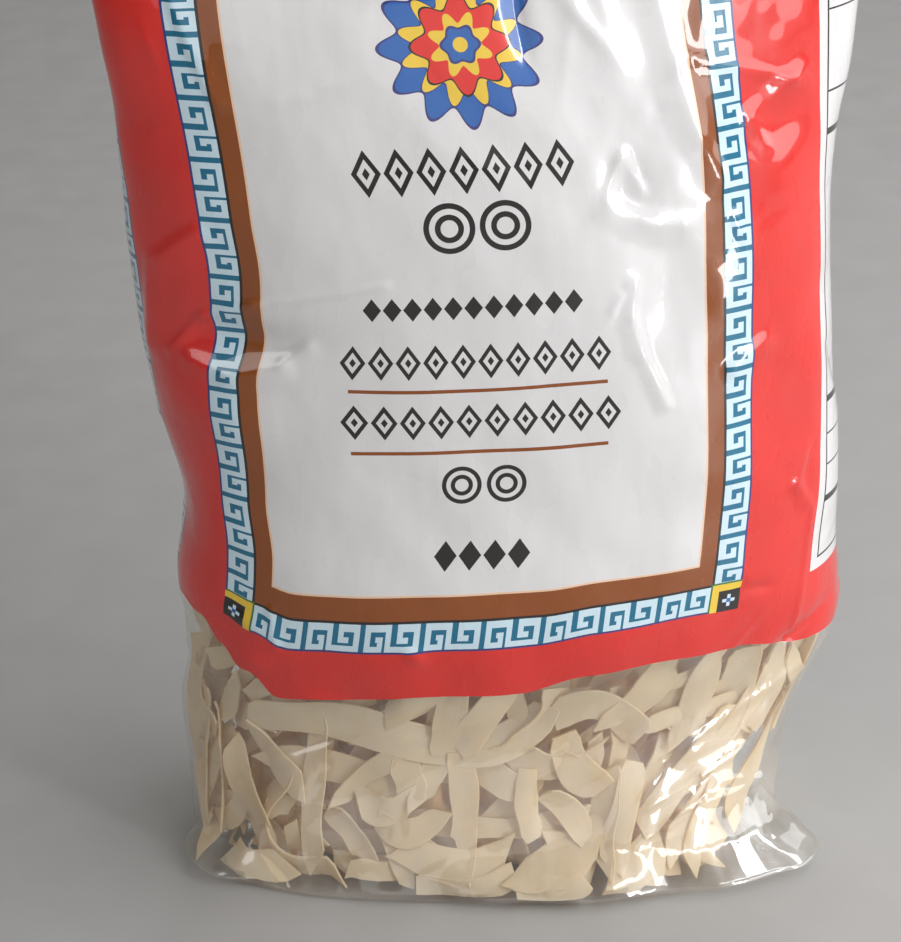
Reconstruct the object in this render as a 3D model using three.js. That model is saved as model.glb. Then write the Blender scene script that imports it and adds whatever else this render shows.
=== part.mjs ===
// A sealed pillow pack of wide rice noodles that stands on its base, as one closed solid.
// Millimetres, +Z up, the printed front faces -Y, and the origin is at the bottom centre.
//
// The film is a tube of fixed girth. At each height a squarish ellipse gives its section, and
// the half width follows from that girth. A point of the film is named by two lengths along
// the flat film: across (0 at the middle of the front print, positive to +X) and height.

import * as THREE from "three";

// ---- driving dimensions ----
const FILM_GIRTH = 356; // once round the film tube
const PACK_HEIGHT = 262; // counter to the top of the seal
const SEAL_HEIGHT = 12; // crimped seal across the top
const SEAL_HALF_THICKNESS = 0.9;
const BASE_TUCK = 14; // girth folded under the pack at the counter
const TUCK_HEIGHT = 35; // height over which that fold opens out
const BASE_EDGE_HEIGHT = 3; // rounded edge of the base
const BASE_EDGE_INSET = 3;
const CLEAR_BAND_HEIGHT = 48; // unprinted film, where the noodles press through
const FIN_WIDTH = 12; // lapped seam down the middle of the back
const FIN_THICKNESS = 0.8;

// Sections of the filled pack. Lengths in mm, turn in degrees, squareness 2 for an ellipse.
// shift is how far the print's middle sits from the section's middle, round the film.
const STATION_FIELDS = ["height", "front", "back", "centreX", "centreY", "turn", "squareness", "shift"];
const STATIONS = [
  [0, 26, 46, -4, -20, -7, 2.8, -11],
  [12, 31, 39, -4, -8, -4, 2.5, -12],
  [35, 33, 36, 1, 1, -1, 2.1, -14],
  [60, 36, 34, 3, 1, 2, 2.1, -13],
  [90, 34, 32, 2, 2, 0, 2.2, -8],
  [125, 33, 32, -2, 2, 0, 2.1, -4],
  [160, 29, 32, -2, -1, 4, 2, -7],
  [200, 20, 30, -2, -4, 6, 1.9, -12],
  [222, 13, 21, -1, -2, 4, 1.9, -9],
  [239, 6, 9, 0, 0, 2, 2, -5],
  [250, 0, 0, 0, 1, 0, 4, -3],
  [262, 0, 0, 0, 2, 0, 4, -3],
];

// Soft hollows of the film: middle (across, height), half sizes and depth. Below 0 is a swelling.
const DENTS = [
  { across: 97, height: 25, wide: 20, high: 12, depth: 4.5 }, // waist above the right ear
  { across: 97, height: 53, wide: 16, high: 12, depth: -2 },
  { across: 97, height: 156, wide: 18, high: 16, depth: 2.5 },
  { across: -79, height: 178, wide: 16, high: 14, depth: 0.8 },
  { across: -79, height: 87, wide: 16, high: 12, depth: 2 },
  { across: -79, height: 64, wide: 16, high: 11, depth: -2 },
  { across: -52, height: 129, wide: 13, high: 5, depth: 2.6 }, // cup between the two left folds
  { across: -58, height: 112, wide: 10, high: 8, depth: -1.5 },
  { across: 66, height: 170, wide: 9, high: 7, depth: 2 }, // flattened shoulder on the right
  { across: 31, height: 160, wide: 5, high: 6, depth: 1.8 },
  { across: 38, height: 140, wide: 8, high: 16, depth: 1.4 },
  { across: 66, height: 104, wide: 8, high: 16, depth: 1.6 },
  { across: -20, height: 214, wide: 26, high: 9, depth: 1.5 },
  { across: 60, height: 219, wide: 14, high: 12, depth: 2 },
  { across: 135, height: 120, wide: 22, high: 30, depth: 2 },
  { across: -140, height: 150, wide: 24, high: 34, depth: 2 },
  { across: 168, height: 60, wide: 18, high: 18, depth: -1.5 },
];

// Sharp folds of the film, each from one point of it to another. Below 0 is a groove.
const FOLDS = [
  { from: [-72, 122], to: [-61, 133], width: 2.6, rise: 1.8 },
  { from: [-61, 133], to: [-36, 139], width: 2.6, rise: 1.6 },
  { from: [-66, 121], to: [-49, 121], width: 2.6, rise: 1.8 },
  { from: [-49, 121], to: [-37, 128], width: 2.6, rise: 1.6 },
  { from: [-60, 214], to: [-50, 179], width: 3, rise: 1.4 },
  { from: [42, 214], to: [47, 181], width: 3.2, rise: 1.6 },
  { from: [47, 181], to: [53, 162], width: 3, rise: 1.4 },
  { from: [47, 185], to: [74, 177], width: 2.4, rise: 1.2 },
  { from: [57, 163], to: [77, 178], width: 2.6, rise: 1.2 },
  { from: [26, 157], to: [29, 168], width: 2.2, rise: 1.2 },
  { from: [26, 157], to: [46, 152], width: 2.2, rise: 1.2 },
  { from: [29, 141], to: [33, 126], width: 2.6, rise: 1.1 },
  { from: [33, 126], to: [39, 112], width: 2.6, rise: 1.1 },
  { from: [54, 124], to: [66, 113], width: 2.4, rise: 1.4 },
  { from: [70, 90], to: [77, 76], width: 2.6, rise: 1.4 },
  { from: [-46, 64], to: [-44, 52], width: 2.2, rise: 1 },
  { from: [44, 14], to: [72, 26], width: 2.4, rise: 1.2 },
  { from: [56, 12], to: [88, 40], width: 2.6, rise: 1.2 },
  { from: [-88, 4], to: [-70, 16], width: 2.4, rise: 1.4 },
];

// Ears of the bottom seal, pressed out sideways over the counter.
const EARS = [
  { across: 88, spread: 34, crest: 8, out: 6 },
  { across: -59, spread: 12, crest: 6, out: 6 },
];
const EAR_FOLD_HEIGHT = 6; // the ear runs back into the pack over this height

// Gathers below the top seal
const GATHER_BOTTOM = 206;
const GATHER_SPREAD = 16;
const GATHER_DEPTH = 1.5;
const GATHERS = 11;

// Mesh
const COLUMNS = 86;
const FRONT_SHARE = 0.35; // how much closer the columns stand at the front than at the back
const ROW_STEP = 4.4;
const SECTION_SAMPLES = 720;

const smooth = (low, high, value) => {
  const t = Math.min(1, Math.max(0, (value - low) / (high - low)));
  return t * t * (3 - 2 * t);
};

// One field of the stations at a height, as a smooth curve through them.
function station(field, height) {
  const column = STATION_FIELDS.indexOf(field);
  let low = 0;
  while (low < STATIONS.length - 2 && height > STATIONS[low + 1][0]) low += 1;
  const slope = (index) => {
    const before = STATIONS[Math.max(0, index - 1)];
    const after = STATIONS[Math.min(STATIONS.length - 1, index + 1)];
    return (after[column] - before[column]) / (after[0] - before[0]);
  };
  const [start, end] = [STATIONS[low], STATIONS[low + 1]];
  const span = end[0] - start[0];
  const t = Math.min(1, Math.max(0, (height - start[0]) / span));
  const fromStart = (1 + 2 * t) * (1 - t) ** 2 * start[column] + t * (1 - t) ** 2 * span * slope(low);
  const fromEnd = t * t * (3 - 2 * t) * end[column] - t * t * (1 - t) * span * slope(low + 1);
  return fromStart + fromEnd;
}

// Points round a squarish ellipse, from the middle of the back past -X, the front and +X.
function outline(halfWidth, front, back, squareness) {
  const points = [];
  for (let index = 0; index <= SECTION_SAMPLES; index += 1) {
    const angle = Math.PI * (0.5 + (2 * index) / SECTION_SAMPLES);
    const [c, s] = [Math.cos(angle), Math.sin(angle)];
    const depth = s < 0 ? front : back;
    const x = halfWidth * Math.sign(c) * Math.abs(c) ** (2 / squareness);
    points.push([x, depth * Math.sign(s) * Math.abs(s) ** (2 / squareness)]);
  }
  return points;
}

// Length along the outline to each of its points
function lengthsAlong(points) {
  const lengths = [0];
  for (let index = 1; index < points.length; index += 1) {
    const [before, after] = [points[index - 1], points[index]];
    lengths.push(lengths[index - 1] + Math.hypot(after[0] - before[0], after[1] - before[1]));
  }
  return lengths;
}

// The film's section at a height: its outline, and lengths from the middle of the back
function section(height) {
  const front = Math.max(SEAL_HALF_THICKNESS, station("front", height));
  const back = Math.max(SEAL_HALF_THICKNESS, station("back", height));
  const squareness = station("squareness", height);
  const girth = FILM_GIRTH - BASE_TUCK * (1 - smooth(0, TUCK_HEIGHT, height));
  let [narrow, wide] = [FILM_GIRTH / 8, FILM_GIRTH / 4];
  for (let round = 0; round < 30; round += 1) {
    const middle = (narrow + wide) / 2;
    const lengths = lengthsAlong(outline(middle, front, back, squareness));
    if (lengths[SECTION_SAMPLES] < girth) narrow = middle;
    else wide = middle;
  }
  const points = outline(narrow, front, back, squareness);
  const lengths = lengthsAlong(points);
  return { points, lengths, scale: lengths[SECTION_SAMPLES] / FILM_GIRTH };
}

// A point of the section at a length from the middle of the back
function onSection(found, along) {
  const { points, lengths } = found;
  const total = lengths[SECTION_SAMPLES];
  const wanted = ((along % total) + total) % total;
  let [low, high] = [0, SECTION_SAMPLES];
  while (high - low > 1) {
    const middle = (low + high) >> 1;
    if (lengths[middle] <= wanted) low = middle;
    else high = middle;
  }
  const share = (wanted - lengths[low]) / Math.max(1e-9, lengths[high] - lengths[low]);
  const x = points[low][0] + share * (points[high][0] - points[low][0]);
  const y = points[low][1] + share * (points[high][1] - points[low][1]);
  return [x, y];
}

// The shorter way round the film between two places across it
const apart = (across, other) => {
  const gap = across - other;
  return gap - FILM_GIRTH * Math.round(gap / FILM_GIRTH);
};

function foldRelief(fold, across, height) {
  const [dx, dz] = [fold.to[0] - fold.from[0], fold.to[1] - fold.from[1]];
  const [px, pz] = [apart(across, fold.from[0]), height - fold.from[1]];
  const length = Math.hypot(dx, dz);
  const along = (px * dx + pz * dz) / length;
  const aside = (px * dz - pz * dx) / length;
  const ends = smooth(-length * 0.15, length * 0.3, along) * (1 - smooth(length * 0.7, length * 1.15, along));
  return fold.rise * ends * Math.exp(-Math.abs(aside) / fold.width);
}

// Uneven bumps of the ribbons under the film, the same at both ends of a turn
function lumps(turn, height) {
  const tall = Math.sin(11 * turn + 1.7 * Math.sin(height / 13) + 0.6) * Math.sin(height / 6.1 + 2 * Math.sin(3 * turn));
  const broad = Math.sin(5 * turn - height / 17 + 2.1) * Math.sin(height / 9.7 - 2 * turn);
  return 0.6 * tall + 0.5 * broad;
}

// Pleats that run down from the top seal, some longer than others
function gather(turn, height) {
  const start = GATHER_BOTTOM + GATHER_SPREAD * Math.sin(4 * turn + 1);
  const grown = smooth(start, PACK_HEIGHT - 2 * SEAL_HEIGHT, height);
  const released = 1 - smooth(PACK_HEIGHT - 1.8 * SEAL_HEIGHT, PACK_HEIGHT - SEAL_HEIGHT, height);
  return GATHER_DEPTH * grown * released * Math.cos(GATHERS * turn + 2.5 * Math.sin(2 * turn));
}

// How far the film stands out from its smooth section, from its dents, folds and contents
function relief(across, height) {
  let out = 0;
  for (const dent of DENTS) {
    const wide = apart(across, dent.across) / dent.wide;
    const high = (height - dent.height) / dent.high;
    out -= dent.depth * Math.exp(-wide * wide - high * high);
  }
  for (const fold of FOLDS) out += foldRelief(fold, across, height);
  for (const ear of EARS) {
    const aside = apart(across, ear.across) / ear.spread;
    const below = 1 - smooth(ear.crest, ear.crest + EAR_FOLD_HEIGHT, height);
    out += ear.out * below * Math.exp(-aside * aside * aside * aside);
  }
  const turn = (2 * Math.PI * across) / FILM_GIRTH;
  const pressed = 0.35 + 0.65 * (1 - smooth(CLEAR_BAND_HEIGHT, CLEAR_BAND_HEIGHT + 20, height));
  out += pressed * lumps(turn, height) * (1 - smooth(190, 225, height));
  out += gather(turn, height);
  const finSide = apart(across, FILM_GIRTH / 2) / FIN_WIDTH;
  if (finSide < 0 && finSide > -1) out += FIN_THICKNESS * (1 - smooth(240, 250, height));
  return out * smooth(0, BASE_EDGE_HEIGHT, height);
}

// The place of one point of the film
function filmPoint(found, across, height) {
  const along = (across + station("shift", height) + FILM_GIRTH / 2) * found.scale;
  const [x, y] = onSection(found, along);
  const [beforeX, beforeY] = onSection(found, along - 1);
  const [afterX, afterY] = onSection(found, along + 1);
  const length = Math.hypot(afterX - beforeX, afterY - beforeY);
  const outward = [(afterY - beforeY) / length, -(afterX - beforeX) / length];
  const edge = Math.max(0, 1 - height / BASE_EDGE_HEIGHT);
  const away = relief(across, height) - BASE_EDGE_INSET * (1 - Math.sqrt(1 - edge * edge));
  const turn = THREE.MathUtils.degToRad(station("turn", height));
  const [sx, sy] = [x + away * outward[0], y + away * outward[1]];
  return [
    sx * Math.cos(turn) - sy * Math.sin(turn) + station("centreX", height),
    sx * Math.sin(turn) + sy * Math.cos(turn) + station("centreY", height),
    height,
  ];
}

// Where each column stands across the film, closest together on the printed front
function columnPlaces() {
  const places = [];
  for (let column = 0; column < COLUMNS; column += 1) {
    const turn = 2 * Math.PI * (column / COLUMNS - 0.5);
    places.push((FILM_GIRTH * (turn - FRONT_SHARE * Math.sin(turn))) / (2 * Math.PI));
  }
  return places;
}

// Heights of the mesh's rows: close together at the base and the ears, then even
function rowHeights() {
  const low = [0, 0.4, 1.2, BASE_EDGE_HEIGHT, 5.5, 8, 10.5, 13, 16];
  const sealStart = PACK_HEIGHT - SEAL_HEIGHT;
  const steps = Math.round((sealStart - 16) / ROW_STEP);
  const rows = [...low];
  for (let index = 1; index <= steps; index += 1) rows.push(16 + ((sealStart - 16) * index) / steps);
  return [...rows, sealStart + SEAL_HEIGHT / 2, PACK_HEIGHT];
}

// The pack's closed surface: rows of film points, a flat base and the seal's top edge
function packGeometry() {
  const rows = rowHeights();
  const places = columnPlaces();
  const positions = [];
  for (const height of rows) {
    const found = section(height);
    for (const across of places) positions.push(filmPoint(found, across, height));
  }
  const faces = [];
  for (let row = 0; row < rows.length - 1; row += 1) {
    for (let column = 0; column < COLUMNS; column += 1) {
      const next = (column + 1) % COLUMNS;
      const [a, b] = [row * COLUMNS + column, row * COLUMNS + next];
      const [c, d] = [b + COLUMNS, a + COLUMNS];
      faces.push([a, b, c], [a, c, d]);
    }
  }
  for (const [row, upward] of [[0, false], [rows.length - 1, true]]) {
    const rim = positions.slice(row * COLUMNS, (row + 1) * COLUMNS);
    const middle = [0, 1, 2].map((axis) => rim.reduce((sum, point) => sum + point[axis], 0) / COLUMNS);
    const centre = positions.push(middle) - 1;
    for (let column = 0; column < COLUMNS; column += 1) {
      const [a, b] = [row * COLUMNS + column, row * COLUMNS + ((column + 1) % COLUMNS)];
      faces.push(upward ? [a, b, centre] : [b, a, centre]);
    }
  }
  return { positions, faces };
}

// Moves the pack so that its box stands with its bottom centre on the origin.
function centred(positions) {
  const box = new THREE.Box3().setFromPoints(positions.map((point) => new THREE.Vector3(...point)));
  const middle = box.getCenter(new THREE.Vector3());
  return positions.map(([x, y, z]) => [x - middle.x, y - middle.y, z - box.min.z]);
}

function packMesh() {
  const { positions, faces } = packGeometry();
  const geometry = new THREE.BufferGeometry();
  geometry.setAttribute("position", new THREE.Float32BufferAttribute(centred(positions).flat(), 3));
  geometry.setIndex(faces.flat());
  geometry.computeVertexNormals();
  const film = new THREE.MeshStandardMaterial({ color: 0xd0302c, roughness: 0.22, metalness: 0 });
  const mesh = new THREE.Mesh(geometry, film);
  mesh.name = "noodle_pack";
  return mesh;
}

const pack = new THREE.Group();
pack.add(packMesh());

export default pack;
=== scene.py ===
"""Looks of a sealed film pack of wide rice noodles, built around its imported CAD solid.

The bag is a tube of film with a fixed girth. A place on the film is (across, height) in millimetres:
across 0 is the middle of the printed front and grows to the right as the front is read, and 178 is
the middle of the back. The print has flat places of its own, (across, print height), because the
film rides up over the contents at the sides. Lengths here are millimetres until a mesh is made.
"""
import math

import bpy
import numpy as np
from mathutils import Matrix, Vector


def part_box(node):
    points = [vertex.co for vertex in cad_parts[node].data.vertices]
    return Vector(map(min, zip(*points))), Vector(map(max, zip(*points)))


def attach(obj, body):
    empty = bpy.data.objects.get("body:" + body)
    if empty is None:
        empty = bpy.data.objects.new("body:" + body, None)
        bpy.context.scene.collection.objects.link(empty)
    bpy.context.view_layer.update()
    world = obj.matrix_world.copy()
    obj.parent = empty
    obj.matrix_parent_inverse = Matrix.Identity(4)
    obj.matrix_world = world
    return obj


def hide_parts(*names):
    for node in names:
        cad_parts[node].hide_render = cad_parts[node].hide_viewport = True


METRES = 0.001
NODE = "noodle_pack"

# ---------------------------------------------------------------- sizes of the pack
FILM_GIRTH = 356.0
HALF_GIRTH = FILM_GIRTH / 2
PACK_HEIGHT = 262.0
SEAL_HEIGHT = 12.0
SEAL_BOTTOM = PACK_HEIGHT - SEAL_HEIGHT
SEAL_HALF_THICKNESS = 0.9
BASE_TUCK = 14.0
TUCK_HEIGHT = 35.0
BASE_EDGE_HEIGHT = 3.0
BASE_EDGE_INSET = 3.0
CLEAR_BAND_HEIGHT = 48.0
FIN_WIDTH = 12.0
FIN_THICKNESS = 0.8

# Sections of the pack from the base up: how far they bulge to the front and the back, their middle, their
# turn in degrees, how square they are, and how far the film has slipped round.
STATION_FIELDS = ("height", "front", "back", "centre_x", "centre_y", "turn", "squareness", "shift")
STATIONS = np.array([
    (0, 26, 46, -4, -20, -7, 2.8, -11),
    (12, 31, 39, -4, -8, -4, 2.5, -12),
    (35, 33, 36, 1, 1, -1, 2.1, -14),
    (60, 36, 34, 3, 1, 2, 2.1, -13),
    (90, 34, 32, 2, 2, 0, 2.2, -8),
    (125, 33, 32, -2, 2, 0, 2.1, -4),
    (160, 29, 32, -2, -1, 4, 2, -7),
    (200, 20, 30, -2, -4, 6, 1.9, -12),
    (222, 13, 21, -1, -2, 4, 1.9, -9),
    (239, 6, 9, 0, 0, 2, 2, -5),
    (250, 0, 0, 0, 1, 0, 4, -3),
    (262, 0, 0, 0, 2, 0, 4, -3),
], float)

# Soft dents (a minus depth is a bulge): across, height, half width, half height, depth.
DENTS = (
    (97, 25, 20, 12, 4.5), (97, 53, 16, 12, -2), (97, 156, 18, 16, 2.5), (-79, 178, 16, 14, 0.8),
    (-79, 87, 16, 12, 2), (-79, 64, 16, 11, -2), (-52, 129, 13, 5, 2.6), (-58, 112, 10, 8, -1.5),
    (66, 170, 9, 7, 2), (31, 160, 5, 6, 1.8), (38, 140, 8, 16, 1.4), (66, 104, 8, 16, 1.6),
    (-20, 214, 26, 9, 1.5), (60, 219, 14, 12, 2), (135, 120, 22, 30, 2), (-140, 150, 24, 34, 2),
    (168, 60, 18, 18, -1.5), (103, 7, 10, 7, 4),
)

# Sharp folds: across and height of both ends, width of the steep side, rise. The steep side is on
# the right as one goes from the first end to the second, and most of them shine there.
FOLDS = (
    (53, 157, 47, 170, 2.4, 0.8), (47.5, 168, 44, 185, 3, 1.1), (44.5, 183, 41.5, 204, 2.6, 1),
    (73, 177, 45, 186.5, 1.2, 0.5), (75, 179, 59, 170, 3.4, 1.1), (64.5, 163, 59, 172, 1.5, 0.6),
    (34, 158, 30, 168, 1.7, 0.7), (30, 168, 25.5, 158, 1.2, 0.5), (45, 151, 34, 152.5, 2.6, 1),
    (35, 152, 25, 158, 2.4, 1), (38.5, 111, 33, 124, 1.5, 0.6), (33, 123, 30.5, 133, 1.8, 0.75),
    (30.5, 132, 32, 141, 1.5, 0.6), (26, 133.5, 28.5, 138, 0.9, 0.35), (63, 123, 52, 117, 2.4, 0.9),
    (57, 145, 54, 152, 0.9, 0.4), (71, 86, 75, 95, 1.4, 0.5), (77, 80, 71, 88, 1.4, 0.5),
    (-57, 208, -49.5, 180, 1.5, 0.6), (-36.5, 129.5, -44, 124, 1.6, 0.6),
    (-42, 124.5, -56, 121, 2.4, 1), (-54, 121, -66, 124, 2, 0.8), (-20, 143.5, -50, 138, 0.9, 0.35),
    (-48, 138.3, -61, 134, 1.1, 0.45), (-60, 134.5, -71, 123, 1.1, 0.5), (-58, 154.5, -71, 145, 2.4, 0.8),
    (-72, 146, -77, 121, 2.4, 0.7), (-44, 57, -47, 68, 0.9, 0.4), (77.5, 80, 76.5, 49, 0.8, 0.35),
)
# How much wider a fold's gentle side is, and how rounded its crest and its foot are.
FOLD_BACK = 2.0
CREST = 0.12
FOOT = 0.1

# Thin straight creases of the clear film, in the same numbers.
CLEAR_FOLDS = (
    (80, 16, 60, 17, 0.8, 0.45), (61, 17, 43, 10, 0.8, 0.4), (69, 25.5, 45, 17.5, 0.8, 0.45),
    (84, 41, 62, 33, 0.8, 0.35), (63, 33.5, 47, 26, 0.7, 0.3), (47.5, 27, 44, 18, 0.7, 0.3),
    (79, 16.5, 62, 20.5, 0.7, 0.4), (84, 40, 77, 47, 0.7, 0.35), (78, 47, 72, 46, 0.7, 0.35),
    (74, 28, 74, 40, 0.8, 0.3), (68, 5, 61, 4, 0.6, 0.3), (-54, 24, -61, 22, 0.7, 0.35),
    (-54, 31, -75, 14, 0.9, 0.4), (-57, 2.5, -58, 8, 0.7, 0.3), (-63, 6, -72, 13, 0.9, 0.4),
)

# Corners of the base that stand out as ears, and a low bulge of its front: across, half spread, crest
# height, reach.
EARS = ((82, 28, 3, 6.5), (83, 6, 1.5, 3.5), (-60, 12, 2.5, 5.5), (26, 24, 5, 4))
EAR_FOLD_HEIGHT = 5.0

# The film's uneven swell: its least share above the clear band, and where it comes and goes.
SWELL_LEAST = 0.35
SWELL_FADE = 20.0
SWELL_END = (190.0, 225.0)

GATHER_BOTTOM = 206.0
GATHER_SPREAD = 16.0
GATHER_DEPTH = 1.5
GATHERS = 11
SECTION_SAMPLES = 720
HALVINGS = 30

# How far the print rides up the film, by its place across.
PRINT_RISE = (
    (-178, 0), (-125, 3), (-100, 11), (-85, 15), (-73, 15), (-65, 13), (-59, 7.5), (-51, 2.5),
    (-42, -4), (-32, -3), (-8, -1), (12, -1), (25, 2), (45, 3), (60, 2.5), (83, -2), (120, -1), (178, 0),
)
PRINT_RISE_FADE = 17.0
# How far the print is drawn sideways on the left of the front, by its height.
PRINT_SWAY = (
    (48, 0), (78, 0.9), (92, -1.5), (118, -2.2), (131, 0.2), (144, 1), (157, 0), (196, 1.6), (230, 0),
)
# Where that comes in and dies away, measured to the left of the front's middle.
SWAY_IN = (20.0, 45.0)
SWAY_OUT = (5.0, 120.0)


# ---------------------------------------------------------------- the form of the film
def smooth(low, high, value):
    """0 at low and before, 1 at high and after, with an even ease between them."""
    share = np.clip((value - low) / (high - low), 0, 1)
    return share * share * (3 - 2 * share)


def eased(points, value):
    """The value that a short list of (place, value) gives at a place, eased between its points."""
    place, level = np.array(points, float).T
    low = np.clip(np.searchsorted(place, value) - 1, 0, len(place) - 2)
    return level[low] + (level[low + 1] - level[low]) * smooth(place[low], place[low + 1], value)


def station(field, height):
    """One field of the stations at a height, on a smooth curve through them."""
    column = STATIONS[:, STATION_FIELDS.index(field)]
    place = STATIONS[:, 0]
    slopes = np.empty(len(place))
    slopes[1:-1] = (column[2:] - column[:-2]) / (place[2:] - place[:-2])
    slopes[0] = (column[1] - column[0]) / (place[1] - place[0])
    slopes[-1] = (column[-1] - column[-2]) / (place[-1] - place[-2])
    low = int(np.clip(np.searchsorted(place, height) - 1, 0, len(place) - 2))
    span = place[low + 1] - place[low]
    t = min(1.0, max(0.0, (height - place[low]) / span))
    start = (1 + 2 * t) * (1 - t) ** 2 * column[low] + t * (1 - t) ** 2 * span * slopes[low]
    end = t * t * (3 - 2 * t) * column[low + 1] - t * t * (1 - t) * span * slopes[low + 1]
    return float(start + end)


def outline(half_width, front, back, squareness):
    """x, y and length so far along one section, clockwise from the middle of its back."""
    angle = math.pi * (0.5 + 2 * np.arange(SECTION_SAMPLES + 1) / SECTION_SAMPLES)
    cosine = np.cos(angle)
    sine = np.sin(angle)
    depth = np.where(sine < 0, front, back)
    x = half_width * np.sign(cosine) * np.abs(cosine) ** (2 / squareness)
    y = depth * np.sign(sine) * np.abs(sine) ** (2 / squareness)
    steps = np.hypot(np.diff(x), np.diff(y))
    return x, y, np.concatenate([[0], np.cumsum(steps)])


def section(height):
    """The section at a height, as wide as the girth of the film lets it be."""
    front = max(SEAL_HALF_THICKNESS, station("front", height))
    back = max(SEAL_HALF_THICKNESS, station("back", height))
    squareness = station("squareness", height)
    girth = FILM_GIRTH - BASE_TUCK * (1 - float(smooth(0, TUCK_HEIGHT, height)))
    narrow = FILM_GIRTH / 8
    wide = FILM_GIRTH / 4
    for _ in range(HALVINGS):
        middle = (narrow + wide) / 2
        if outline(middle, front, back, squareness)[2][-1] < girth:
            narrow = middle
        else:
            wide = middle
    return outline(narrow, front, back, squareness)


def apart(across, other):
    """How far one place across is from another, the short way round the film."""
    gap = across - other
    return gap - FILM_GIRTH * np.round(gap / FILM_GIRTH)


def fold_relief(fold, across, height):
    """Height of one sharp fold above the film: a ridge with a steep side and a gentler one."""
    from_across, from_height, to_across, to_height, width, rise = fold
    run = to_across - from_across
    climb = to_height - from_height
    aside = apart(across, from_across)
    up = height - from_height
    length = math.hypot(run, climb)
    along = (aside * run + up * climb) / length
    off = (aside * climb - up * run) / length
    grown = smooth(-width, 1.2 * width, along)
    fading = 1 - smooth(length - 1.2 * width, length + width, along)
    reach = np.where(off > 0, off / width, -off / (FOLD_BACK * width))
    ridge = 1 + CREST - np.sqrt(reach ** 2 + CREST ** 2)
    return rise * grown * fading * (ridge + np.sqrt(ridge ** 2 + FOOT ** 2) - FOOT) / 2


def lumps(turn, height):
    """Uneven swell of the film over the noodles."""
    tall = np.sin(11 * turn + 1.7 * np.sin(height / 13) + 0.6) * np.sin(height / 6.1 + 2 * np.sin(3 * turn))
    broad = np.sin(5 * turn - height / 17 + 2.1) * np.sin(height / 9.7 - 2 * turn)
    return 0.6 * tall + 0.5 * broad


def gather(turn, height):
    """Pleats that run up into the top seal."""
    start = GATHER_BOTTOM + GATHER_SPREAD * np.sin(4 * turn + 1)
    grown = smooth(start, PACK_HEIGHT - 2 * SEAL_HEIGHT, height)
    released = 1 - smooth(PACK_HEIGHT - 1.8 * SEAL_HEIGHT, SEAL_BOTTOM, height)
    return GATHER_DEPTH * grown * released * np.cos(GATHERS * turn + 2.5 * np.sin(2 * turn))


def relief(across, height):
    """All that stands proud of the smooth section, or dents it."""
    out = 0 * across
    for place, level, wide, high, depth in DENTS:
        near = np.exp(-(apart(across, place) / wide) ** 2 - ((height - level) / high) ** 2)
        out = out - depth * near
    for fold in FOLDS + CLEAR_FOLDS:
        out = out + fold_relief(fold, across, height)
    for place, spread, crest, reach in EARS:
        below = 1 - smooth(crest, crest + EAR_FOLD_HEIGHT, height)
        out = out + reach * below * np.exp(-(apart(across, place) / spread) ** 4)
    turn = 2 * math.pi * across / FILM_GIRTH
    pressed = 1 - smooth(CLEAR_BAND_HEIGHT, CLEAR_BAND_HEIGHT + SWELL_FADE, height)
    pressed = SWELL_LEAST + (1 - SWELL_LEAST) * pressed
    out = out + pressed * lumps(turn, height) * (1 - smooth(*SWELL_END, height))
    out = out + gather(turn, height)
    return out * smooth(0, BASE_EDGE_HEIGHT, height)


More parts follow.
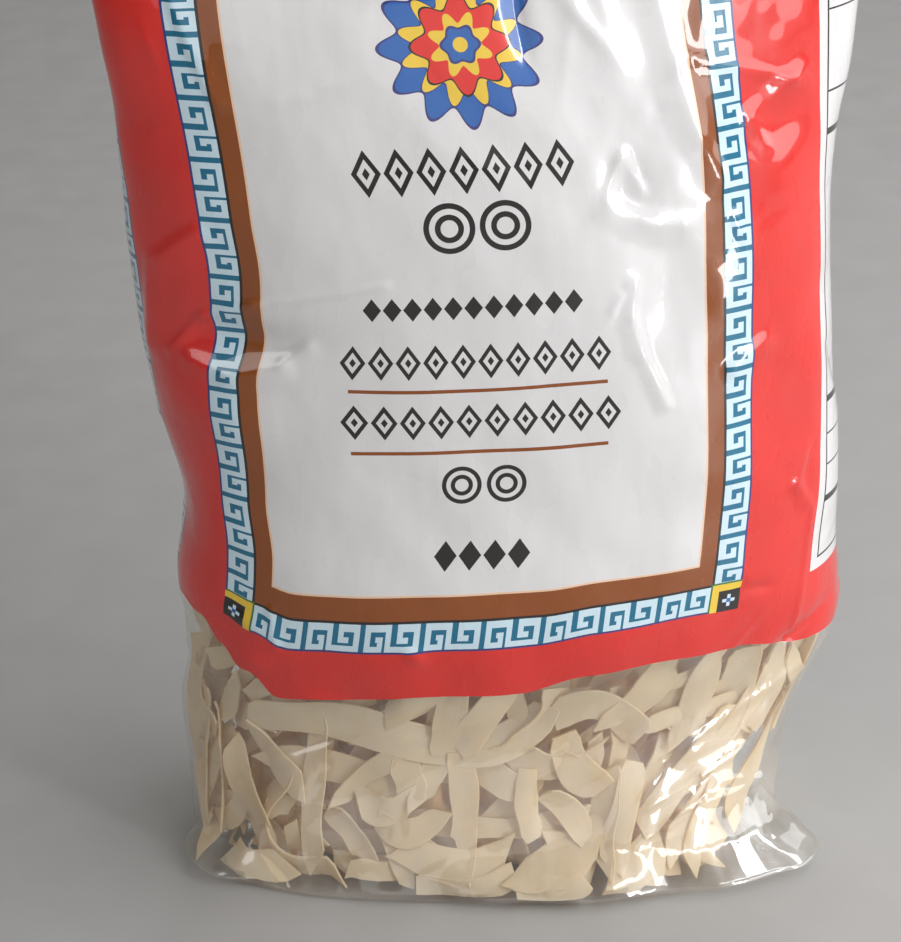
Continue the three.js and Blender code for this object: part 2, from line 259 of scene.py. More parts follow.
class Film:
    """The bag's film: gives the point in the CAD frame for a place on it."""

    def __init__(self):
        self.columns = np.arange(-HALF_GIRTH, HALF_GIRTH + 0.5)
        levels = np.arange(0, PACK_HEIGHT + 0.5)
        self.grid = np.array([self.ring(level) for level in levels])
        self.shift = np.zeros(3)
        self.shift = self.middle_of_node() - self.own_middle()

    def ring(self, height):
        """x, y and the outward direction of every column at one height."""
        x, y, lengths = section(height)
        scale = lengths[-1] / FILM_GIRTH
        along = (self.columns + station("shift", height) + HALF_GIRTH) * scale

        def place(offset):
            at = (along + offset) % lengths[-1]
            return np.interp(at, lengths, x), np.interp(at, lengths, y)

        px, py = place(0)
        before = place(-1)
        after = place(1)
        tx = after[0] - before[0]
        ty = after[1] - before[1]
        size = np.hypot(tx, ty)
        nx = ty / size
        ny = -tx / size
        turn = math.radians(station("turn", height))
        c = math.cos(turn)
        s = math.sin(turn)
        columns = (
            px * c - py * s + station("centre_x", height),
            px * s + py * c + station("centre_y", height),
            nx * c - ny * s,
            nx * s + ny * c,
        )
        return np.stack(columns, -1)

    def middle_of_node(self):
        """Middle of the CAD solid's box at the floor, in millimetres."""
        low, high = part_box(NODE)
        return np.array([(low[0] + high[0]) / 2, (low[1] + high[1]) / 2, low[2]]) / METRES

    def own_middle(self):
        """Middle of this film's own box at the floor, the lapped seam on its back included."""
        across, height = np.meshgrid(self.columns, np.arange(0, PACK_HEIGHT + 1, 2.0))
        lapped = np.abs(apart(across, HALF_GIRTH - FIN_WIDTH / 2)) < FIN_WIDTH / 2
        points = self.at(across, height, np.where(lapped, FIN_THICKNESS, 0))
        low = points.reshape(-1, 3).min(0)
        high = points.reshape(-1, 3).max(0)
        return np.array([(low[0] + high[0]) / 2, (low[1] + high[1]) / 2, 0])

    def at(self, across, height, out=0.0):
        """Points at places on the film, moved out from it by a distance (a minus one is inside)."""
        across, height, out = np.broadcast_arrays(
            np.asarray(across, float), np.asarray(height, float), np.asarray(out, float)
        )
        across = apart(across, 0)
        row = np.clip(height, 0, PACK_HEIGHT - 1e-6)
        column = np.clip(across + HALF_GIRTH, 0, FILM_GIRTH - 1e-3)
        i = row.astype(int)
        j = column.astype(int)
        up = (row - i)[..., None]
        on = (column - j)[..., None]
        lower = self.grid[i, j] * (1 - on) + self.grid[i, j + 1] * on
        upper = self.grid[i + 1, j] * (1 - on) + self.grid[i + 1, j + 1] * on
        ring = lower * (1 - up) + upper * up
        edge = np.clip(1 - height / BASE_EDGE_HEIGHT, 0, 1)
        rounded = BASE_EDGE_INSET * (1 - np.sqrt(1 - edge ** 2))
        away = relief(across, height) + out - rounded
        x = ring[..., 0] + away * ring[..., 2]
        y = ring[..., 1] + away * ring[..., 3]
        return np.stack([x, y, height], -1) + self.shift


def print_to_film(across, height):
    """Place on the standing film of a place on the flat print."""
    below = height / CLEAR_BAND_HEIGHT
    above = np.exp(-np.maximum(height - CLEAR_BAND_HEIGHT, 0) / PRINT_RISE_FADE)
    pull = np.where(height < CLEAR_BAND_HEIGHT, below, above)
    drawn = smooth(*SWAY_IN, -across) * (1 - smooth(*SWAY_OUT, -across))
    return across + drawn * eased(PRINT_SWAY, height), height + eased(PRINT_RISE, across) * pull


# ---------------------------------------------------------------- fine creases of the thin film
CREASE_SEED = 11
# Kinds of crease, in the clear band, beside the front and under the top: how many, how far off the
# front's middle, and the ranges of height and length; then the mean heading and its spread, the range of
# the half width and the spread of the rise.
CREASE_KINDS = (
    (60, 0, (1, 60), (10, 42), (0.25, 0.8), (0.9, 1.9), 0.5),
    (45, 48, (52, 215), (10, 40), (1.2, 0.8), (1.1, 2.4), 0.4),
    (60, 0, (190, 244), (12, 44), (1.57, 0.3), (1.2, 2.6), 0.6),
)
CREASE_REACH = 5.0
CREASE_SHARPNESS = 1.4


def draw_creases():
    """Seeded small creases: middle, length, heading, half width and rise of each."""
    rng = np.random.default_rng(CREASE_SEED)
    creases = []
    for number, clear, heights, lengths, headings, widths, rise in CREASE_KINDS:
        for _ in range(number):
            if clear:
                across = rng.choice((-1, 1)) * rng.uniform(clear, HALF_GIRTH)
            else:
                across = rng.uniform(-HALF_GIRTH, HALF_GIRTH)
            middle = (across, rng.uniform(*heights))
            length = rng.uniform(*lengths)
            heading = rng.normal(*headings)
            creases.append((middle, length, heading, rng.uniform(*widths), rng.normal(0, rise)))
    return creases


def crease_relief(creases, across, height):
    """Height of all the small creases above the film."""
    out = np.zeros(np.broadcast(across, height).shape)
    for (place, level), length, heading, width, rise in creases:
        aside = apart(across, place)
        up = height - level
        along = aside * math.cos(heading) + up * math.sin(heading)
        off = aside * math.sin(heading) - up * math.cos(heading)
        near = (np.abs(along) < length / 2) & (np.abs(off) < CREASE_REACH * width)
        ends = np.cos(np.pi * along[near] / length) ** 2
        out[near] += rise * ends / np.cosh(CREASE_SHARPNESS * off[near] / width)
    return out


# ---------------------------------------------------------------- meshes
def new_piece(name, points, faces, material):
    """A smooth mesh object from points in millimetres, riding on the pack's one body."""
    mesh = bpy.data.meshes.new(name)
    mesh.from_pydata((np.asarray(points) * METRES).tolist(), [], faces)
    mesh.polygons.foreach_set("use_smooth", np.ones(len(mesh.polygons), bool))
    mesh.update()
    piece = bpy.data.objects.new(name, mesh)
    bpy.context.scene.collection.objects.link(piece)
    mesh.materials.append(material)
    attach(piece, "root")
    return piece


def grid_faces(rows, columns):
    """Quads of a grid of points, wound so that columns to the right and rows up face out."""
    row, column = np.meshgrid(np.arange(rows - 1), np.arange(columns - 1), indexing="ij")
    corner = (row * columns + column).ravel()
    return np.stack([corner, corner + 1, corner + columns + 1, corner + columns], 1).tolist()


def set_vectors(piece, name, *vectors):
    """Keeps one vector for each point of a piece, from its three numbers, for its material to read."""
    vectors = np.stack(np.broadcast_arrays(*vectors), -1)
    layer = piece.data.attributes.new(name, "FLOAT_VECTOR", "POINT")
    layer.data.foreach_set("vector", vectors.astype(np.float32).ravel())


# ---------------------------------------------------------------- short calls for shader nodes
def math_node(operation, swapped=False):
    """A method of Value that adds one math node to its material."""
    def method(value, other=0.0):
        pair = (other, value) if swapped else (value, other)
        return value.nodes.math(operation, *pair)
    return method


class Value:
    """A number that a material works out at each point. Arithmetic with it adds nodes, and a
    comparison gives a mask, which is 1 where it holds and 0 elsewhere."""

    def __init__(self, nodes, socket):
        self.nodes = nodes
        self.socket = socket

    __add__ = math_node("ADD")
    __sub__ = math_node("SUBTRACT")
    __rsub__ = math_node("SUBTRACT", swapped=True)
    __mul__ = math_node("MULTIPLY")
    __truediv__ = math_node("DIVIDE")
    __abs__ = math_node("ABSOLUTE")
    __lt__ = math_node("LESS_THAN")
    __gt__ = math_node("GREATER_THAN")


class Nodes:
    """Adds nodes to one material and hands back what they give."""

    def __init__(self, material):
        material.use_nodes = True
        self.tree = material.node_tree
        self.tree.nodes.clear()

    def add(self, kind, **settings):
        node = self.tree.nodes.new(kind)
        for name, value in settings.items():
            setattr(node, name, value)
        return node

    def feed(self, socket, value):
        if isinstance(value, Value):
            value = value.socket
        if isinstance(value, bpy.types.NodeSocket):
            self.tree.links.new(value, socket)
        elif socket.type == "RGBA":
            socket.default_value = (*value, 1.0)[:4]
        else:
            socket.default_value = value

    def math(self, operation, *values):
        node = self.add("ShaderNodeMath", operation=operation)
        for socket, value in zip(node.inputs, values):
            self.feed(socket, value)
        return Value(self, node.outputs[0])

    def larger(self, first, second):
        """The larger of two values; of two masks, all that either of them covers."""
        return self.math("MAXIMUM", first, second)

    def between(self, value, low, high):
        return abs(value - (low + high) / 2) < (high - low) / 2

    def choose(self, mask, when_no, when_yes):
        node = self.add("ShaderNodeMix", data_type="FLOAT")
        self.feed(node.inputs[0], mask)
        self.feed(node.inputs[2], when_no)
        self.feed(node.inputs[3], when_yes)
        return Value(self, node.outputs[0])

    def paint(self, under, mask, colour):
        node = self.add("ShaderNodeMix", data_type="RGBA")
        self.feed(node.inputs[0], mask)
        self.feed(node.inputs[6], under)
        self.feed(node.inputs[7], colour)
        return node.outputs[2]

    def place(self, name):
        """The three numbers that a piece keeps for each point under a name, and the vector itself."""
        read = self.add("ShaderNodeAttribute", attribute_name=name)
        split = self.add("ShaderNodeSeparateXYZ")
        self.feed(split.inputs[0], read.outputs["Vector"])
        return (*(Value(self, number) for number in split.outputs), read.outputs["Vector"])

    def noise(self, vector, scale, detail=2.0, stretch=(1, 1, 1)):
        spread = self.add("ShaderNodeVectorMath", operation="MULTIPLY")
        self.feed(spread.inputs[0], vector)
        spread.inputs[1].default_value = stretch
        node = self.add("ShaderNodeTexNoise")
        self.feed(node.inputs["Vector"], spread.outputs[0])
        self.feed(node.inputs["Scale"], scale)
        self.feed(node.inputs["Detail"], detail)
        return Value(self, node.outputs[0])

    def scaled(self, value, low, high):
        """A value of about 0.3 to 0.7, as noise gives, spread to low and high."""
        node = self.add("ShaderNodeMapRange")
        for socket, number in zip(node.inputs, (value, 0.3, 0.7, low, high)):
            self.feed(socket, number)
        return Value(self, node.outputs[0])

    def bump(self, height, distance):
        node = self.add("ShaderNodeBump")
        self.feed(node.inputs["Height"], height)
        self.feed(node.inputs["Distance"], distance)
        return node.outputs[0]

    def shader(self, kind, **sockets):
        node = self.add(kind)
        for name, value in sockets.items():
            self.feed(node.inputs[name.replace("_", " ")], value)
        return node.outputs[0]

    def blend(self, share, first, second):
        node = self.add("ShaderNodeMixShader")
        for socket, value in zip(node.inputs, (share, first, second)):
            self.feed(socket, value)
        return node.outputs[0]

    def finish(self, surface):
        output = self.add("ShaderNodeOutputMaterial")
        self.feed(output.inputs["Surface"], surface)


# ---------------------------------------------------------------- the print
def ink(red, green, blue):
    """Linear colour of a screen colour given in steps of 255."""
    def linear(step):
        share = step / 255
        return share / 12.92 if share <= 0.04045 else ((share + 0.055) / 1.055) ** 2.4
    return linear(red), linear(green), linear(blue)


RED = ink(226, 40, 32)
WHITE = ink(224, 222, 223)
PEACH = ink(238, 200, 170)
BROWN = ink(140, 70, 6)
BLACK = ink(24, 20, 20)
NAVY = ink(52, 54, 122)
PALE_BLUE = ink(208, 231, 243)
TEAL = ink(2, 108, 142)
YELLOW = ink(238, 200, 62)
GREEN = ink(46, 112, 60)
BLUE = ink(38, 98, 176)
GREY = ink(128, 124, 124)

STRIP_HALF = 3.15
OUTER_LINE = 0.5
INNER_LINE = 0.6
REPEAT = 13.0
FRAME_MIDDLE = 150.1
FRAME_HALF_HEIGHT = 86.6
FRONT_HALF = 55.0
SECOND_FRAME_EDGE = -68.0
SECOND_CENTRE = -123.15
SECOND_HALF = 42.0
PANEL_INSET = 8.0
PANEL_HALF_HEIGHT = 77.15
PANEL_LINE = 0.45
# Where the border's first dark separator lies: its height at the sides, its place along the frame's foot.
FIRST_SEPARATOR = 78.6
LYING_START = 3.0
BLOCK_INSET = 3.4
BLOCK_LINE = 0.45
BLOCK_SQUARE = 1.7
BLOCK_FLOWER = 0.9
PETAL_REACH = 1.5
PETAL_HALF = 0.4
FLOWER_EYE = 0.5

# Bars of one repeat of the traditional key border: from and to along it, from and to through it,
# in shares of the repeat and of the strip's width.
KEY_BARS = (
    (0.349, 0.392, 0.26, 1.0),
    (0.142, 0.392, 0.26, 0.44),
    (0.142, 0.228, 0.26, 0.79),
    (0.142, 0.263, 0.64, 0.79),
    (0.484, 0.584, 0.0, 0.79),
    (0.484, 0.855, 0.69, 0.79),
    (0.769, 0.855, 0.28, 0.79),
    (0.677, 0.855, 0.28, 0.475),
)
KEY_SEPARATOR = 0.045


def key_border(nodes, along, through):
    """Mask of the key border's dark bars: along is 0 to 1 in one repeat, through 0 to 1 across it."""
    mask = abs(along - 0.5) > 0.5 - KEY_SEPARATOR
    for start, end, near, far in KEY_BARS:
        bar = nodes.between(along, start, end) * nodes.between(through, near, far)
        mask = nodes.larger(mask, bar)
    return mask


def framed_panels(nodes, colour, across, height):
    """The front frame and the second one round the left side: key border, brown band, pale panel."""
    second = across < SECOND_FRAME_EDGE
    half = nodes.choose(second, FRONT_HALF, SECOND_HALF)
    aside = across - second * SECOND_CENTRE
    up = height - FRAME_MIDDLE
    side_gap = abs(aside) - half
    top_gap = abs(up) - FRAME_HALF_HEIGHT
    gap = nodes.larger(side_gap, top_gap)
    lying = side_gap < -STRIP_HALF
    standing_along = (height - FIRST_SEPARATOR) / REPEAT
    lying_along = (aside + half - LYING_START) / REPEAT
    along = nodes.math("FRACT", nodes.choose(lying, standing_along, lying_along))
    standing_through = aside - nodes.math("SIGN", aside) * half + STRIP_HALF
    lying_through = nodes.math("SIGN", up) * FRAME_HALF_HEIGHT - up + STRIP_HALF
    through = nodes.choose(lying, standing_through, lying_through) / (2 * STRIP_HALF)
    colour = nodes.paint(colour, gap < STRIP_HALF + OUTER_LINE, NAVY)
    colour = nodes.paint(colour, gap < STRIP_HALF, PALE_BLUE)
    strip = abs(gap) < STRIP_HALF
    colour = nodes.paint(colour, strip * key_border(nodes, along, through), TEAL)
    colour = nodes.paint(colour, gap < -STRIP_HALF, BLACK)
    colour = nodes.paint(colour, gap < -STRIP_HALF - INNER_LINE, BROWN)
    colour = corner_blocks(nodes, colour, side_gap, top_gap, gap)
    inside = nodes.larger(side_gap + PANEL_INSET, abs(up) - PANEL_HALF_HEIGHT)
    colour = nodes.paint(colour, inside < PANEL_LINE, PEACH)
    colour = nodes.paint(colour, inside < 0.0, WHITE)
    return second_panel_bars(nodes, colour, second, aside, height)


def corner_blocks(nodes, colour, side_gap, top_gap, gap):
    """Yellow blocks in the frame's corners, each with a dark square and a small flower."""
    corner = nodes.math("MINIMUM", side_gap, top_gap)
    within = gap < STRIP_HALF + OUTER_LINE
    for inset, tint in ((BLOCK_INSET + BLOCK_LINE, GREEN), (BLOCK_INSET, YELLOW), (BLOCK_SQUARE, BLACK)):
        colour = nodes.paint(colour, (corner > -inset) * within, tint)
    x = abs(side_gap - BLOCK_FLOWER)
    y = abs(top_gap - BLOCK_FLOWER)
    reach = nodes.larger(x, y)
    petals = (nodes.math("MINIMUM", x, y) < PETAL_HALF) * (reach < PETAL_REACH)
    colour = nodes.paint(colour, petals, PALE_BLUE)
    return nodes.paint(colour, reach < FLOWER_EYE, BLUE)


BAR_PITCH = 5.5
BAR_SHARE = 0.3
BAR_LEFT = -26.0
BAR_RIGHT = 19.0
BAR_UNEVEN = 7.0
BAR_PIECE = 9.0
BAR_GAP_SHARE = 0.12
BAR_HEIGHTS = (143.0, 218.0)
# How far each row is from the one below in the wave of the rows' lengths, and in their gaps.
ROW_WAVE = 2.4
ROW_SHIFT = 3.7


def second_panel_bars(nodes, colour, second, aside, height):
    """Plain grey bars on the second panel, in rows of uneven length."""
    level = height / BAR_PITCH
    row = nodes.math("FLOOR", level)
    thick = nodes.math("FRACT", level) < BAR_SHARE
    wave = nodes.math("SINE", row * ROW_WAVE)
    short = (aside < wave * BAR_UNEVEN + BAR_RIGHT) * (aside > BAR_LEFT)
    gaps = nodes.math("FRACT", (aside + row * ROW_SHIFT) / BAR_PIECE) > BAR_GAP_SHARE
    block = nodes.between(height, *BAR_HEIGHTS)
    return nodes.paint(colour, second * thick * short * gaps * block, GREY)


SIDE_PANEL = (79.5, 150.0)
SIDE_PANEL_HEIGHTS = (64.0, 238.0)
SIDE_OUTLINE_INSET = 2.4
SIDE_OUTLINE = 0.5
# Rules of the side panel: height and thickness.
SIDE_RULES = (
    (172, 0.5), (163, 1.5), (103, 1.5), (95, 0.4), (88, 0.4), (80, 1.5), (190, 0.4), (208, 1.5), (222, 0.4),
)


def side_panel(nodes, colour, across, height):
    """The pale table on the right side, with its outline and plain rules."""
    middle = sum(SIDE_PANEL) / 2
    centre = sum(SIDE_PANEL_HEIGHTS) / 2
    side_gap = abs(across - middle) - (SIDE_PANEL[1] - middle)
    top_gap = abs(height - centre) - (SIDE_PANEL_HEIGHTS[1] - centre)
    gap = nodes.larger(side_gap, top_gap)
    colour = nodes.paint(colour, gap < 0.0, WHITE)
    outer = gap < -SIDE_OUTLINE_INSET
    inner = gap < -SIDE_OUTLINE_INSET - SIDE_OUTLINE
    rules = 0.0
    for level, thickness in SIDE_RULES:
        rules = nodes.larger(rules, abs(height - level) < thickness / 2)
    lines = outer - inner * (1.0 - rules)
    return nodes.paint(colour, outer * lines, BLACK)


# Rows of plain marks on the front: left, right, middle height, half height, marks, kind of mark.
MARK_ROWS = (
    (-26.0, 20.0, 167.0, 5.0, 7, "lozenge ring"),
    (-13.0, 10.0, 155.0, 5.4, 2, "double ring"),
    (-26.0, 20.0, 137.5, 2.6, 11, "lozenge"),
    (-31.0, 26.0, 125.5, 3.9, 10, "lozenge ring"),
    (-31.0, 28.0, 112.0, 3.9, 10, "lozenge ring"),
    (-11.0, 8.0, 97.5, 4.2, 2, "double ring"),
    (-12.0, 9.0, 81.5, 3.4, 4, "lozenge"),
)
# Half a mark's width in shares of the marks' pitch, and its lines in shares of its half size.
MARK_SHARE = 0.46
OUTER_RING = (0.78, 1.0)
INNER_RING = (0.34, 0.56)
LOZENGE_RING = (0.62, 1.0)
LOZENGE_EYE = 0.26
FRONT_RULES = (119.0, 105.0)
FRONT_RULE_SPAN = (-29.0, 25.0)
FRONT_RULE_HALF = 0.4


def mark(nodes, kind, x, y):
    """Mask of one plain mark, from the distances to its middle in shares of its half size."""
    if kind == "double ring":
        reach = nodes.math("SQRT", x * x + y * y)
        return nodes.larger(nodes.between(reach, *OUTER_RING), nodes.between(reach, *INNER_RING))
    reach = x + y
    if kind == "lozenge":
        return reach < 1.0
    return nodes.larger(nodes.between(reach, *LOZENGE_RING), reach < LOZENGE_EYE)


def front_marks(nodes, colour, across, height):
    """Rows of plain lozenges and rings, and two thin brown rules."""
    for left, right, middle, half_height, marks, kind in MARK_ROWS:
        pitch = (right - left) / marks
        half_width = MARK_SHARE * pitch
        if kind == "double ring":
            half_width = min(half_width, half_height)
        share = nodes.math("FRACT", (across - left) / pitch)
        x = abs((share - 0.5) * pitch) / half_width
        shape = mark(nodes, kind, x, abs(height - middle) / half_height)
        colour = nodes.paint(colour, nodes.between(across, left, right) * shape, BLACK)
    span = nodes.between(across, *FRONT_RULE_SPAN)
    for level in FRONT_RULES:
        colour = nodes.paint(colour, span * (abs(height - level) < FRONT_RULE_HALF), BROWN)
    return colour


ROSETTE_CENTRE = (0.5, 192.0)
# Layers of the rosette, outer first: radius, depth of the lobes, lobes, turn, colour.
ROSETTE = (
    (17.0, 0.12, 12, 0.0, NAVY),
    (16.3, 0.12, 12, 0.0, BLUE),
    (12.9, 0.16, 12, math.pi, NAVY),
    (12.4, 0.16, 12, math.pi, YELLOW),
    (10.4, 0.14, 8, 0.0, BLACK),
    (9.9, 0.14, 8, 0.0, RED),
    (6.6, 0.18, 8, math.pi, YELLOW),
    (4.2, 0.10, 6, 0.0, NAVY),
    (3.6, 0.10, 6, 0.0, BLUE),
    (1.5, 0.0, 6, 0.0, YELLOW),
)


def rosette(nodes, colour, across, height):
    """A plain layered flower in the upper front."""
    x = across - ROSETTE_CENTRE[0]
    y = height - ROSETTE_CENTRE[1]
    reach = nodes.math("SQRT", x * x + y * y)
    angle = nodes.math("ARCTAN2", y, x)
    for radius, depth, lobes, turn, tint in ROSETTE:
        wave = nodes.math("COSINE", angle * lobes + turn)
        edge = wave * (radius * depth) + radius * (1 - depth)
        colour = nodes.paint(colour, reach < edge, tint)
    return colour


def printed_film_material():
    """Glossy film: the print's colours under a clear layer, with faint smears and ripples."""
    material = bpy.data.materials.new("printed_film")
    nodes = Nodes(material)
    across, height, _, place = nodes.place("print_place")
    mottle = nodes.noise(place, 0.09, 2.0)
    colour = nodes.paint(RED, nodes.scaled(mottle, 0.0, 0.22), ink(186, 42, 38))
    for layer in (framed_panels, side_panel, front_marks, rosette):
        colour = layer(nodes, colour, across, height)
    smears = nodes.noise(place, 0.13, 2.0, (1, 0.4, 1))
    normal = nodes.bump(nodes.noise(place, 0.07, 2.0, (1, 0.6, 1)), 0.0007)
    shader = nodes.shader(
        "ShaderNodeBsdfPrincipled",
        Base_Color=colour,
        Roughness=nodes.scaled(smears, 0.22, 0.36),
        Coat_Weight=1.0,
        Coat_Roughness=0.035,
        Normal=normal,
        Coat_Normal=normal,
    )
    nodes.finish(shader)
    return material


def clear_film_material():
    """Thin clear film: seen through straight on, bright where it turns away, with a soft veil of
    light and a faint haze."""
    material = bpy.data.materials.new("clear_film")
    nodes = Nodes(material)
    place = nodes.place("print_place")[3]
    normal = nodes.bump(nodes.noise(place, 0.09, 2.0, (1, 0.7, 1)), 0.0012)
    facing = nodes.add("ShaderNodeLayerWeight")
    nodes.feed(facing.inputs["Normal"], normal)
    gloss = nodes.math("POWER", facing.outputs["Facing"], 4.0) * 0.6 + 0.09
    smears = nodes.noise(place, 0.11, 2.0)
    white = (1.0, 1.0, 1.0)
    gleam = nodes.scaled(smears, 0.03, 0.09)
    clear = nodes.shader("ShaderNodeBsdfTransparent", Color=(0.985, 0.985, 0.975))
    shine = nodes.shader("ShaderNodeBsdfGlossy", Color=white, Roughness=gleam, Normal=normal)
    veil = nodes.shader("ShaderNodeBsdfGlossy", Color=white, Roughness=0.36, Normal=normal)
    haze = nodes.shader("ShaderNodeBsdfDiffuse", Color=(0.86, 0.86, 0.84), Normal=normal)
    film = nodes.blend(gloss, clear, shine)
    film = nodes.blend(nodes.scaled(smears, 0.05, 0.12), film, veil)
    nodes.finish(nodes.blend(nodes.scaled(smears, 0.02, 0.08), film, haze))
    return material


def noodle_material():
    """Dry rice noodle: cream with faint streaks along each ribbon. Part of the light goes on through
    it, warmer than it came."""
    material = bpy.data.materials.new("noodles")
    nodes = Nodes(material)
    _, _, tone, place = nodes.place("ribbon_place")
    streaks = nodes.noise(place, 1.0, 3.0, (0.12, 1.3, 40.0))
    patches = nodes.noise(place, 1.0, 2.0, (0.09, 0.2, 23.0))
    colour = nodes.paint(ink(250, 238, 206), nodes.scaled(patches, 0.0, 1.0), ink(255, 248, 226))
    colour = nodes.paint(colour, tone * 0.5, ink(244, 226, 184))
    colour = nodes.paint(colour, nodes.scaled(streaks, 0.0, 0.08), ink(250, 244, 230))
    roughness = nodes.scaled(patches, 0.34, 0.5)
    normal = nodes.bump(streaks, 0.00005)
    surface = nodes.shader("ShaderNodeBsdfPrincipled", Base_Color=colour, Roughness=roughness, Normal=normal)
    through = nodes.shader("ShaderNodeBsdfTranslucent", Color=ink(255, 228, 160), Normal=normal)
    nodes.finish(nodes.blend(0.4, surface, through))
    return material


def core_material_with_painted_glow():
    """Deep noodles: cream painted warmer and more saturated than the ribbons, a painted glow standing in for
    the warm light that passes through the noodles in front, with bands that cross each other.
    """
    material = bpy.data.materials.new("noodle_core")
    nodes = Nodes(material)
    place = nodes.place("ribbon_place")[3]
    first = nodes.noise(place, 0.12, 2.0, (1, 0.3, 1))
    second = nodes.noise(place, 0.12, 2.0, (0.3, 1, 1))
    # Painted glow: these warm tans stand in for light tinted by passing through the noodles in front.
    colour = nodes.paint(ink(244, 200, 128), nodes.scaled(first, 0.0, 1.0), ink(252, 226, 166))
    colour = nodes.paint(colour, nodes.scaled(second, 0.0, 0.6), ink(238, 186, 108))
    roughness = nodes.scaled(first, 0.45, 0.65)
    normal = nodes.bump(first + second, 0.002)
    shader = nodes.shader("ShaderNodeBsdfPrincipled", Base_Color=colour, Roughness=roughness, Normal=normal)
    nodes.finish(shader)
    return material


# ---------------------------------------------------------------- pieces of the bag
FILM_COLUMNS = 520
PRINT_ROWS = 280
BAND_ROWS = 80
CREASE_END = 238.0


def count(number):
    """A count of rows or columns, as given."""
    return number


def add_sheet(name, film, creases, heights, material):
    """A sheet of film round the whole pack, with a row of points at each print height."""
    across = np.linspace(-HALF_GIRTH, HALF_GIRTH, count(FILM_COLUMNS) + 1)
    across, height = np.meshgrid(across, heights)
    on_across, on_height = print_to_film(across, height)
    fine = crease_relief(creases, on_across, on_height)
    fine = fine * smooth(0, BASE_EDGE_HEIGHT, on_height) * (1 - smooth(CREASE_END, SEAL_BOTTOM, on_height))
    points = film.at(on_across, on_height, fine)
    piece = new_piece(name, points.reshape(-1, 3), grid_faces(*across.shape), material)
    set_vectors(piece, "print_place", across, height, 0)
    return piece


def add_printed_film(film, creases, material):
    heights = np.linspace(CLEAR_BAND_HEIGHT, SEAL_BOTTOM, count(PRINT_ROWS) + 1)
    piece = add_sheet("printed_film", film, creases, heights, material)
    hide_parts(NODE)


def add_clear_band(film, creases, material):
    heights = np.linspace(0, CLEAR_BAND_HEIGHT, count(BAND_ROWS) + 1)
    add_sheet("clear_band", film, creases, heights, material)


BASE_RINGS = 26
BASE_LIFT = 0.9


def add_base_film(film, material):
    """The film under the pack, drawn in from the foot of the band to the middle."""
    across = np.linspace(-HALF_GIRTH, HALF_GIRTH, count(FILM_COLUMNS) + 1)
    rim = film.at(across, 0 * across)
    middle = rim[:-1].mean(0)
    share = np.linspace(0, 1, BASE_RINGS)[:, None]
    points = rim[None] * (1 - share[..., None]) + middle * share[..., None]
    angle = 2 * np.pi * across / FILM_GIRTH
    pucker = np.sin(9 * angle + 6 * share) * np.sin(4 * angle - 9 * share)
    dome = np.sin(np.pi * np.minimum(1, share * 1.3)) ** 2
    points[..., 2] = BASE_LIFT * (0.5 + 0.5 * pucker) * dome
    faces = [face[::-1] for face in grid_faces(*points.shape[:2])]
    piece = new_piece("base_film", points.reshape(-1, 3), faces, material)
    set_vectors(piece, "print_place", points[..., 0], points[..., 1], 0)


SEAL_COLUMNS = 900
SEAL_ROWS = 26
SEAL_FACE = 0.35
RIB_PITCH = 1.5
RIB_HEIGHT = 0.14
TOOTH_PITCH = 2.6
TOOTH_HEIGHT = 1.1


def add_top_seal(film, material):
    """The crimped top seal: two layers pressed into fine ribs, with a toothed upper edge."""
    across = np.linspace(-HALF_GIRTH, HALF_GIRTH, count(SEAL_COLUMNS) + 1)
    share = np.linspace(0, 1, count(SEAL_ROWS) + 1)
    across, share = np.meshgrid(across, share)
    height = SEAL_BOTTOM + share * SEAL_HEIGHT
    pressed = smooth(0, 0.12, share)
    inset = (SEAL_HALF_THICKNESS - SEAL_FACE) * pressed
    points = film.at(across, height, -inset)
    ribs = np.sin(2 * np.pi * points[..., 0] / RIB_PITCH)
    points[..., 1] += RIB_HEIGHT * ribs * pressed * (1 - smooth(0.93, 1, share))
    closing = smooth(0.97, 1, share)
    middle = (points[:, :, 1].min(1) + points[:, :, 1].max(1))[:, None] / 2
    points[..., 1] += (middle - points[..., 1]) * closing
    tooth = np.abs((points[..., 0] / TOOTH_PITCH) % 1 - 0.5) * 2
    points[..., 2] -= TOOTH_HEIGHT * tooth * smooth(0.8, 1, share)
    faces = grid_faces(*across.shape)
    piece = new_piece("top_seal", points.reshape(-1, 3), faces, material)
    set_vectors(piece, "print_place", across, points[..., 2], 0)


SEAM_ROWS = 300
SEAM_COLUMNS = 14
SEAM_LIFT = 0.15
SEAM_THICKNESS = 0.45
SEAM_RIB_PITCH = 1.4
SEAM_RIB_HEIGHT = 0.06


